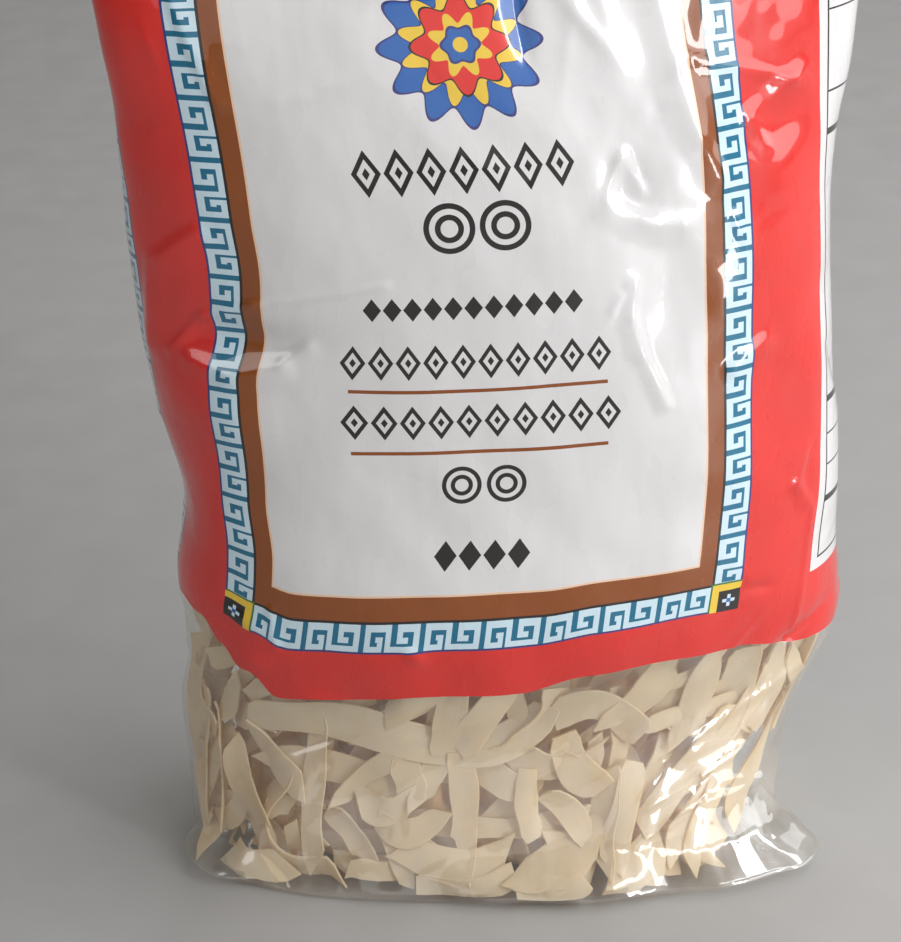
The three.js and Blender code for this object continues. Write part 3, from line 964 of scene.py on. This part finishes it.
def add_back_seam(film, creases, material):
    """The lapped seam down the back: a flat strip folded to one side, with faint heat-seal ribs."""
    height = np.linspace(1.5, SEAL_BOTTOM + 1, count(SEAM_ROWS) + 1)
    inner = np.linspace(HALF_GIRTH - FIN_WIDTH, HALF_GIRTH, SEAM_COLUMNS + 1)
    across = np.concatenate([inner, inner[::-1]])
    outside = np.concatenate([np.ones(len(inner)), np.zeros(len(inner))])
    across, level = np.meshgrid(across, height)
    fine = crease_relief(creases, across, level) * smooth(0, BASE_EDGE_HEIGHT, level)
    rib = SEAM_RIB_HEIGHT * np.sin(2 * np.pi * level / SEAM_RIB_PITCH)
    edge = np.abs(across - (HALF_GIRTH - FIN_WIDTH / 2)) / (FIN_WIDTH / 2)
    face = SEAM_THICKNESS * (1 - 0.6 * edge ** 8) + rib * (1 - edge ** 8)
    thin = 1 - smooth(240, SEAL_BOTTOM, level) * 0.6
    points = film.at(across, level, fine + (SEAM_LIFT + outside * face) * thin)
    rows, columns = points.shape[:2]
    faces = grid_faces(rows, columns)
    first = np.arange(rows - 1) * columns
    faces += np.stack([first + columns - 1, first, first + columns, first + 2 * columns - 1], 1).tolist()
    faces.append(list(range(columns))[::-1])
    faces.append(list(range((rows - 1) * columns, rows * columns)))
    piece = new_piece("back_seam", points.reshape(-1, 3), faces, material)
    set_vectors(piece, "print_place", across, level, 0)


# ---------------------------------------------------------------- noodles
NOODLE_SEED = 5
RIBBON_THICKNESS = 0.6
RIBBON_WIDTH = (4.0, 7.0)
RIBBON_LENGTH = (16.0, 56.0)
RIBBON_STEP = 2.4
RIBBON_GAP = 0.1
CORE_DEPTH = 11.5
CELL = 2.5
HEAP_TOP = 74.0
HEAP_BOTTOM = 1.4
LOOSE_RIBBONS = 700
LOOSE_TRIES = 9000
SITES_TRIED = 5
RIBBON_BEND = 0.8
RIBBON_WAVE = 0.35
STEEP_SHARE = 0.3
STEEP_LEAN = 34.0
FLAT_LEAN = 10.0
SHORTEST_RIBBON = 12.0
FRONT_REACH = 92.0
FRONT_CLEARANCE = 2.0
FILM_CLEARANCE = 0.9
# Places across the ribbon, in shares of its half width, and its thickness there.
RIBBON_PLACES = np.array([-1.0, -0.95, -0.4, 0.4, 0.95, 1.0])
RIBBON_BULK = np.array([0.55, 1.0, 1.0, 1.0, 1.0, 0.55])
RIBBON_SHARP_EDGE = math.radians(28)

# Broken ends: how many run to a point, the share of the length that either kind takes, its least width
# in shares of the ribbon's, and the power that rounds it.
POINTED_SHARE = 0.14
POINTED_END = (0.12, 0.25)
BLUNT_END = (0.01, 0.05)
LONG_END = 0.1
POINTED_WIDTH = 0.12
BLUNT_WIDTH = 0.72
END_ROUNDING = 0.7

# Unevenness of a ribbon: how it is cupped, how askew its ends are broken and how its edges wander.
CUP = 0.35
SKEW = 1.6
WANDER = 0.25
LEAST_DEPTH = 0.45

# Ribbons that lie foremost: width, tilt at both ends in degrees, points (across, height).
FRONT_RIBBONS = (
    (8.5, 8, -25, ((-49, 37), (-36, 38.5), (-22, 37.5), (-10.5, 34.5),
                   (-1, 31.5), (8.5, 32.5), (16, 35.5), (19, 41))),
    (5.6, 20, 10, ((-32, 37), (-31, 24.5), (-31, 14), (-30.5, 6))),
    (6.2, -10, 14, ((0.5, 31), (3.5, 22.5), (4.5, 15), (4, 9))),
    (5.2, 15, -20, ((17, 27), (18, 19.5), (21, 12))),
    (6.0, 30, -30, ((-2.5, 31), (-5, 25), (-6.8, 19.5))),
    (6.5, -20, 10, ((-12, 31), (-9.5, 25.5), (-7.5, 21.5))),
    (6.0, 35, 5, ((-49, 35), (-43.5, 29.5), (-39, 26), (-33, 22))),
    (6.5, 60, 30, ((-38, 27), (-42.5, 18), (-44, 12), (-41.5, 7.5), (-33.5, 5), (-25, 4))),
    (6.6, -15, 20, ((-13, 9.5), (-2, 8.5), (6, 7.5), (16, 13.5))),
    (4.8, 10, 25, ((-7, 3.8), (0, 4), (8.5, 4.2), (16, 6.8))),
    (7.4, -15, 25, ((-17, 40), (-11.5, 43.5), (-5, 44))),
    (7.5, 12, -10, ((-4, 49), (-2.5, 38.5), (-2.5, 30))),
    (9.0, -25, 10, ((9, 50), (5, 40.5), (0, 32))),
    (6.8, 20, 30, ((-63.5, 40), (-64, 22), (-65.5, 8))),
    (6.6, -25, 30, ((-53, 29), (-48, 19), (-43, 13))),
    (5.8, 15, -10, ((-55, 5), (-47, 4.8), (-37, 5.6))),
    (5.0, 30, -10, ((-25, 19), (-19.5, 26), (-12, 31))),
    (6.0, -20, 15, ((-21, 20.5), (-14, 18.5), (-8, 21.5))),
    (5.6, 10, -30, ((-16, 17), (-9, 14), (-1, 18.5))),
    (7.0, 50, 20, ((9, 32), (16, 34), (19.5, 38), (19.5, 46))),
    (7.4, -10, 30, ((21, 38), (30, 41), (36, 37.5), (43, 31))),
    (7.0, 25, 5, ((13, 32), (21.5, 27), (31, 31))),
    (9.2, 15, -15, ((35, 35), (42, 43), (47, 50))),
    (7.6, -10, 20, ((56, 52), (55, 39.5), (53.5, 29))),
    (6.5, 20, 40, ((36, 25), (37, 15.5), (36.5, 6.5))),
    (7.0, -20, 20, ((42, 26), (41, 16), (38.5, 7))),
    (7.4, 12, -22, ((14, 5), (22.5, 6), (30, 9.5), (37, 12.5))),
    (6.5, -12, 16, ((16, 3.6), (24.5, 3.4), (33, 4.2))),
    (7.5, 20, -15, ((37, 5), (44, 6.5), (51, 10))),
    (8.5, 15, 35, ((66, 48), (66, 36), (64, 27))),
    (8.0, -20, 25, ((75, 46), (74.5, 36), (71, 28))),
    (5.2, 25, -15, ((22, 21), (28.5, 17), (33, 11))),
    (7.5, -15, 20, ((24, 34), (28, 26), (36, 21))),
    (6.8, -55, -40, ((-70, 44), (-71, 30), (-73, 15))),
    (6.2, -50, -60, ((-78, 40), (-77, 26), (-79, 12))),
    (6.0, 50, 35, ((-84, 42), (-82, 30), (-84, 18))),
    (6.4, -35, -50, ((-68, 20), (-66, 12), (-60, 5))),
    (5.8, -60, -45, ((-76, 14), (-70, 8), (-62, 11))),
    (6.2, -45, 20, ((-74, 50), (-68, 38), (-58, 30))),
    (5.6, 40, 60, ((-60, 36), (-57, 24), (-57, 12))),
    (6.0, 15, -10, ((60, 20), (66, 30), (76, 40))),
    (6.2, -50, -30, ((88, 46), (88, 34), (86, 22))),
    (6.0, 30, 50, ((97, 45), (95, 33), (92, 21))),
    (6.0, -20, 20, ((84, 31), (78, 19), (71, 9))),
    (5.6, 15, -25, ((66, 24), (62, 14), (57, 5))),
    (5.2, -30, 30, ((80, 44), (84, 36), (93, 32))),
    (6.4, -20, 10, ((46, 12), (55, 22), (66, 34))),
    (5.8, 10, 25, ((52, 8), (60, 16), (70, 26))),
)

# Corners of the base where the film stands empty: across, height, half spread across and up, depth.
HOLLOWS = ((90, 4, 20, 13, 15), (-72, 4, 9, 8, 3))


def hollow(across, height):
    """How far the noodles lie back from the film in its empty corners."""
    out = 0 * across
    for place, level, wide, high, depth in HOLLOWS:
        out = out + depth * np.exp(-(apart(across, place) / wide) ** 2 - ((height - level) / high) ** 2)
    return out


class Heap:
    """How near the film the ribbons laid so far come, on a grid of cells over the film."""

    def __init__(self):
        self.nearest = np.full((round(FILM_GIRTH / CELL), round(HEAP_TOP / CELL)), CORE_DEPTH)

    def cells(self, across, height):
        rows, columns = self.nearest.shape
        row = np.floor((across + HALF_GIRTH) / FILM_GIRTH * rows).astype(int) % rows
        column = np.clip(np.floor(height / CELL).astype(int), 0, columns - 1)
        return row, column

    def footprint(self, path):
        """Places under a ribbon: one row for each step, one column for each place through it."""
        through = np.linspace(-0.5, 0.5, 7)[None, :] * (path["width"] * np.cos(path["tilt"]))[:, None]
        across = path["across"][:, None] - np.sin(path["heading"])[:, None] * through
        height = path["height"][:, None] + np.cos(path["heading"])[:, None] * through
        return across, height

    def support(self, path):
        """How deep the ribbon lies on what is under it, bent no more sharply than it can be."""
        across, height = self.footprint(path)
        free = self.nearest[self.cells(across, height)].min(1) - path["reach"] - RIBBON_GAP
        reach = 2
        padded = np.pad(free, reach, mode="edge")
        lowest = np.min([padded[i:i + len(free)] for i in range(2 * reach + 1)], axis=0)
        padded = np.pad(lowest, reach, mode="edge")
        return np.mean([padded[i:i + len(free)] for i in range(2 * reach + 1)], axis=0)

    def lay(self, path):
        """Takes the room that a ribbon needs."""
        across, height = self.footprint(path)
        cells = self.cells(across, height)
        top = np.repeat((path["depth"] - path["reach"])[:, None], across.shape[1], 1)
        np.minimum.at(self.nearest, cells, top)


def ribbon_path(across, height, width, tilt):
    """A ribbon's route over the film, with its heading and how far it stands up at each step."""
    return {
        "across": across,
        "height": height,
        "heading": np.unwrap(np.arctan2(np.gradient(height), np.gradient(across))),
        "tilt": tilt,
        "width": width,
        "reach": np.abs(np.sin(tilt)) * width / 2 + RIBBON_THICKNESS / 2,
    }


def broken_ends(rng):
    """How much of a ribbon's length each end takes to narrow: mostly blunt, now and then a point."""
    pointed = rng.random(2) < POINTED_SHARE
    return np.where(pointed, rng.uniform(*POINTED_END, 2), rng.uniform(*BLUNT_END, 2))


def tapered(width, share, ends):
    """Width along a ribbon with broken ends: a short one is blunt, a long one runs to a point."""
    first = np.clip(share / ends[0], 0, 1) ** END_ROUNDING
    last = np.clip((1 - share) / ends[1], 0, 1) ** END_ROUNDING
    least = [POINTED_WIDTH if end > LONG_END else BLUNT_WIDTH for end in ends]
    least = np.where(share < 0.5, *least)
    return width * np.maximum(least, np.minimum(first, last))


def bare_site(rng, heap):
    """A random place where the heap still lies deep."""
    across = rng.uniform(-HALF_GIRTH, HALF_GIRTH, SITES_TRIED)
    height = rng.uniform(HEAP_BOTTOM + 2, HEAP_TOP - 6, SITES_TRIED)
    room = heap.nearest[heap.cells(across, height)] - 0.6 * hollow(across, height)
    best = int(np.argmax(room))
    return across[best], height[best]


def loose_path(rng, heap):
    """A short bent ribbon at a random place round the pack."""
    length = rng.uniform(*RIBBON_LENGTH)
    steps = max(7, int(length / RIBBON_STEP))
    share = np.linspace(0, 1, steps)
    bend = rng.normal(0, RIBBON_BEND)
    wave = rng.normal(0, RIBBON_WAVE)
    start = rng.uniform(0, math.pi)
    heading = start + bend * share + wave * np.sin(2 * math.pi * share + rng.uniform(0, 6))
    across = np.cumsum(np.cos(heading)) * length / steps
    height = np.cumsum(np.sin(heading)) * length / steps
    middle = bare_site(rng, heap)
    across = across - across.mean() + middle[0]
    height = height - height.mean() + middle[1]
    spread = STEEP_LEAN if rng.random() < STEEP_SHARE else FLAT_LEAN
    lean = rng.normal(0, spread)
    twist = rng.normal(0, spread)
    tilt = np.radians(lean + twist * (share - 0.5) * 2)
    return ribbon_path(across, height, np.full(steps, rng.uniform(*RIBBON_WIDTH)), tilt)


def longest_run(fits):
    """First and last step of the longest unbroken run of steps that fit."""
    edges = np.flatnonzero(np.diff(np.concatenate([[0], fits.astype(int), [0]])))
    starts, ends = edges[::2], edges[1::2]
    if len(starts) == 0:
        return 0, 0
    best = int(np.argmax(ends - starts))
    return starts[best], ends[best]


def fitted_path(rng, heap):
    """A loose ribbon, broken off where it would push through the film, or None if little is left."""
    path = loose_path(rng, heap)
    path["depth"] = heap.support(path)
    near_front = np.abs(apart(path["across"], 0)) < FRONT_REACH
    clearance = np.where(near_front, FRONT_CLEARANCE, FILM_CLEARANCE)
    clearance = clearance + hollow(path["across"], path["height"])
    half_high = np.abs(np.cos(path["heading"])) * path["width"] / 2
    fits = path["depth"] - path["reach"] > clearance
    fits &= path["height"] - half_high > HEAP_BOTTOM
    fits &= path["height"] < HEAP_TOP
    first, last = longest_run(fits)
    if (last - first) * RIBBON_STEP < SHORTEST_RIBBON:
        return None
    for name, value in path.items():
        path[name] = value[first:last]
    share = np.linspace(0, 1, last - first)
    path["width"] = tapered(path["width"], share, broken_ends(rng))
    return path


def front_path(width, tilt_start, tilt_end, points, rng):
    """A ribbon along a given route, on a smooth curve through its points."""
    points = np.array(points, float)
    lengths = np.concatenate([[0], np.cumsum(np.hypot(*np.diff(points, axis=0).T))])
    steps = max(8, int(lengths[-1] / RIBBON_STEP * 1.3))
    share = np.linspace(0, 1, steps)
    order = min(3, len(points) - 1) if len(points) < 6 else 5
    across, height = (np.polyval(np.polyfit(lengths, line, order), share * lengths[-1]) for line in points.T)
    tilt = np.radians(tilt_start + (tilt_end - tilt_start) * share)
    return ribbon_path(across, height, tapered(width, share, broken_ends(rng)), tilt)


def ribbon_points(film, path, rng):
    """Rings of points along one ribbon, and what its material reads at each of them."""
    steps = len(path["across"])
    share = np.linspace(0, 1, steps)
    cup = rng.normal(0, CUP)
    skew = rng.normal(0, SKEW, 2)
    wander = WANDER * np.sin(share * rng.uniform(6, 14) + rng.uniform(0, 6))
    places = np.concatenate([RIBBON_PLACES, RIBBON_PLACES[::-1]])
    sides = np.repeat([1, -1], len(RIBBON_PLACES))
    bulk = np.concatenate([RIBBON_BULK, RIBBON_BULK[::-1]])
    half = path["width"][:, None] / 2
    through = places * (half + wander[:, None])
    lift = sides * bulk * RIBBON_THICKNESS / 2 + cup * (places ** 2 - 0.4) * half / RIBBON_WIDTH[1] * 2
    tilt = path["tilt"][:, None]
    aside = through * np.cos(tilt) - lift * np.sin(tilt)
    inward = path["depth"][:, None] - through * np.sin(tilt) - lift * np.cos(tilt)
    heading = path["heading"][:, None]
    slip = np.where(share < 0.5, skew[0] * (1 - share * 2) ** 3, skew[1] * (share * 2 - 1) ** 3)
    along = slip[:, None] * places
    across = path["across"][:, None] - np.sin(heading) * aside + np.cos(heading) * along
    height = path["height"][:, None] + np.cos(heading) * aside + np.sin(heading) * along
    height = np.maximum(height, HEAP_BOTTOM * 0.6 + 0.1 * (sides + 1))
    inward = np.maximum(inward, LEAST_DEPTH)
    length = share[:, None] * steps * RIBBON_STEP
    seen = np.stack(np.broadcast_arrays(length, through, rng.uniform()), -1)
    return film.at(across, height, -inward), seen


def ribbon_faces(first, steps):
    """Faces of one closed ribbon: quads round it, and a strip of quads over each end."""
    ring = 2 * len(RIBBON_PLACES)
    step, spot = np.meshgrid(np.arange(steps - 1), np.arange(ring), indexing="ij")
    here = first + step * ring + spot
    beside = first + step * ring + (spot + 1) % ring
    faces = np.stack([here, beside, beside + ring, here + ring], -1).reshape(-1, 4).tolist()
    for start, turned in ((first, True), (first + (steps - 1) * ring, False)):
        for i in range(len(RIBBON_PLACES) - 1):
            cap = [start + i, start + i + 1, start + ring - 2 - i, start + ring - 1 - i]
            faces.append(cap[::-1] if turned else cap)
    return faces


def pile_ribbons(rng):
    """Routes of all ribbons: loose ones stacked from the core out, then the foremost ones as listed."""
    heap = Heap()
    paths = []
    wanted = count(LOOSE_RIBBONS)
    for _ in range(LOOSE_TRIES):
        path = fitted_path(rng, heap)
        if path is None:
            continue
        heap.lay(path)
        paths.append(path)
        if len(paths) == wanted:
            break
    for width, tilt_start, tilt_end, points in FRONT_RIBBONS:
        path = front_path(width, tilt_start, tilt_end, points, rng)
        room = FILM_CLEARANCE + path["reach"] + 0.4 * hollow(path["across"], path["height"])
        path["depth"] = np.maximum(heap.support(path), room)
        heap.lay(path)
        paths.append(path)
    return paths


def add_noodles(film, material):
    """The heap of ribbons that shows through the clear band."""
    rng = np.random.default_rng(NOODLE_SEED)
    paths = pile_ribbons(rng)
    points = []
    seen = []
    faces = []
    first = 0
    for path in paths:
        rings, looks = ribbon_points(film, path, rng)
        faces += ribbon_faces(first, len(rings))
        points.append(rings.reshape(-1, 3))
        seen.append(looks.reshape(-1, 3))
        first += len(points[-1])
    piece = new_piece("noodle_ribbons", np.concatenate(points), faces, material)
    piece.data.set_sharp_from_angle(angle=RIBBON_SHARP_EDGE)
    set_vectors(piece, "ribbon_place", *np.concatenate(seen).T)


CORE_COLUMNS = 240
CORE_ROWS = 52
CORE_TOP = 84.0
CORE_FOOT = 1.5


def add_noodle_core(film, material):
    """The deep noodles behind the ribbons: one closed bumpy mass inside the film."""
    across = np.linspace(-HALF_GIRTH, HALF_GIRTH, CORE_COLUMNS, endpoint=False)
    across, height = np.meshgrid(across, np.linspace(CORE_FOOT, CORE_TOP, CORE_ROWS))
    turn = 2 * np.pi * across / FILM_GIRTH
    bumps = np.sin(23 * turn + height / 4) * np.sin(height / 2.7 - 9 * turn)
    bumps = bumps + 0.6 * np.sin(37 * turn - height / 3)
    ends = 4 * smooth(CORE_TOP - 12, CORE_TOP, height) + 3 * (1 - smooth(CORE_FOOT, 9, height))
    points = film.at(across, height, -(CORE_DEPTH + 1.5 + 0.8 * bumps + ends + hollow(across, height)))
    rows, columns = across.shape
    row, column = np.meshgrid(np.arange(rows - 1), np.arange(columns), indexing="ij")
    here = (row * columns + column).ravel()
    beside = (row * columns + (column + 1) % columns).ravel()
    faces = np.stack([here, beside, beside + columns, here + columns], 1).tolist()
    flat = points.reshape(-1, 3)
    foot = rows * columns
    flat = np.vstack([flat, points[0].mean(0), points[-1].mean(0) + (0, 0, 2)])
    for i in range(columns):
        after = (i + 1) % columns
        faces.append([foot, after, i])
        faces.append([foot + 1, (rows - 1) * columns + i, (rows - 1) * columns + after])
    piece = new_piece("noodle_core", flat, faces, material)
    set_vectors(piece, "ribbon_place", np.append(across, (0, 0)), np.append(height, (0, 0)), 0)


# ---------------------------------------------------------------- stage, light and camera
FLOOR_HALF = 3.0


def add_floor():
    """A plain pale floor with a faint grain."""
    material = bpy.data.materials.new("floor")
    nodes = Nodes(material)
    where = nodes.add("ShaderNodeTexCoord").outputs["Object"]
    grain = nodes.noise(where, 60.0, 3.0)
    colour = nodes.paint(ink(168, 168, 167), nodes.scaled(grain, 0.0, 0.5), ink(178, 178, 177))
    roughness = nodes.scaled(grain, 0.5, 0.6)
    nodes.finish(nodes.shader("ShaderNodeBsdfPrincipled", Base_Color=colour, Roughness=roughness))
    mesh = bpy.data.meshes.new("floor")
    corners = [(x * FLOOR_HALF, y * FLOOR_HALF, 0) for x, y in ((-1, -1), (1, -1), (1, 1), (-1, 1))]
    mesh.from_pydata(corners, [], [(0, 1, 2, 3)])
    mesh.materials.append(material)
    floor = bpy.data.objects.new("floor", mesh)
    bpy.context.scene.collection.objects.link(floor)


# Soft lights: name, place, size, power in watts, all in metres and aimed at the pack's middle.
LIGHTS = (
    ("window", (0.335, -0.37, 0.20), (0.05, 0.34), 0.9),
    ("window_left", (-0.42, -0.27, 0.44), (0.2, 0.34), 0.45),
    ("front", (0.0, -1.1, 0.3), (1.3, 0.5), 1.3),
    ("top", (0.5, -0.3, 0.8), (0.9, 0.16), 2.6),
    ("right_back", (0.65, 0.2, 0.95), (0.6, 0.14), 2.8),
    ("side", (1.0, -0.25, 0.38), (1.3, 0.55), 6.4),
    ("back", (0.35, 0.95, 0.8), (0.9, 0.5), 3.2),
)
LIGHT_AIM = Vector((0, 0, 0.11))
WORLD_COLOUR = (0.86, 0.82, 0.77)
WORLD_STRENGTH = 0.2


def add_lights():
    for name, place, size, power in LIGHTS:
        light = bpy.data.lights.new(name, "AREA")
        light.shape = "RECTANGLE"
        light.size, light.size_y = size
        light.energy = power
        lamp = bpy.data.objects.new(name, light)
        lamp.location = place
        lamp.visible_camera = False
        lamp.rotation_euler = (LIGHT_AIM - Vector(place)).to_track_quat("-Z", "Y").to_euler()
        bpy.context.scene.collection.objects.link(lamp)
    world = bpy.data.worlds.new("studio")
    world.use_nodes = True
    sky = world.node_tree.nodes["Background"]
    sky.inputs["Color"].default_value = (*WORLD_COLOUR, 1)
    sky.inputs["Strength"].default_value = WORLD_STRENGTH
    bpy.context.scene.world = world


IMAGE_HEIGHT = 942
FOCAL_PIXELS = 2800.0
SENSOR = 36.0
CAMERA_DISTANCE = 623.0
CAMERA_AIM = np.array([-11.0, 0.0, 85.8])
CAMERA_DOWN = 25.8
CAMERA_TURN = 6.2
CAMERA_ROLL = -0.8


def add_camera(film):
    """The camera at the photo's angle; its long side is the image's height."""
    turn = math.radians(CAMERA_TURN)
    down = math.radians(CAMERA_DOWN)
    roll = math.radians(CAMERA_ROLL)
    forward = Vector((math.sin(turn) * math.cos(down), math.cos(turn) * math.cos(down), -math.sin(down)))
    level = Vector((math.cos(turn), -math.sin(turn), 0))
    upright = level.cross(forward)
    right = level * math.cos(roll) + upright * math.sin(roll)
    up = upright * math.cos(roll) - level * math.sin(roll)
    camera = bpy.data.cameras.new("camera")
    camera.sensor_width = SENSOR
    camera.lens = FOCAL_PIXELS / IMAGE_HEIGHT * SENSOR
    camera.clip_start = 0.01
    lens = bpy.data.objects.new("camera", camera)
    aim = Vector(((CAMERA_AIM + film.shift) * METRES).tolist())
    place = aim - forward * CAMERA_DISTANCE * METRES
    lens.matrix_world = Matrix.Translation(place) @ Matrix((right, up, -forward)).transposed().to_4x4()
    bpy.context.scene.collection.objects.link(lens)
    bpy.context.scene.camera = lens


def main():
    bpy.context.scene.view_settings.view_transform = "Standard"
    film = Film()
    add_camera(film)
    creases = draw_creases()
    printed = printed_film_material()
    clear = clear_film_material()
    add_printed_film(film, creases, printed)
    add_clear_band(film, creases, clear)
    add_base_film(film, clear)
    add_top_seal(film, printed)
    add_back_seam(film, creases, printed)
    add_noodles(film, noodle_material())
    add_noodle_core(film, core_material_with_painted_glow())
    add_floor()
    add_lights()


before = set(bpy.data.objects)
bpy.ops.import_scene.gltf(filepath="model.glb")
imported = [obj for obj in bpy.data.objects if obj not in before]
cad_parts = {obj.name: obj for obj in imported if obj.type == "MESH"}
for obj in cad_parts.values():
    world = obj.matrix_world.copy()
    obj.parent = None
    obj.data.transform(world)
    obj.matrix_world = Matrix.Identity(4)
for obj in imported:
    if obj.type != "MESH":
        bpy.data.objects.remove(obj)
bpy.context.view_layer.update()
main()
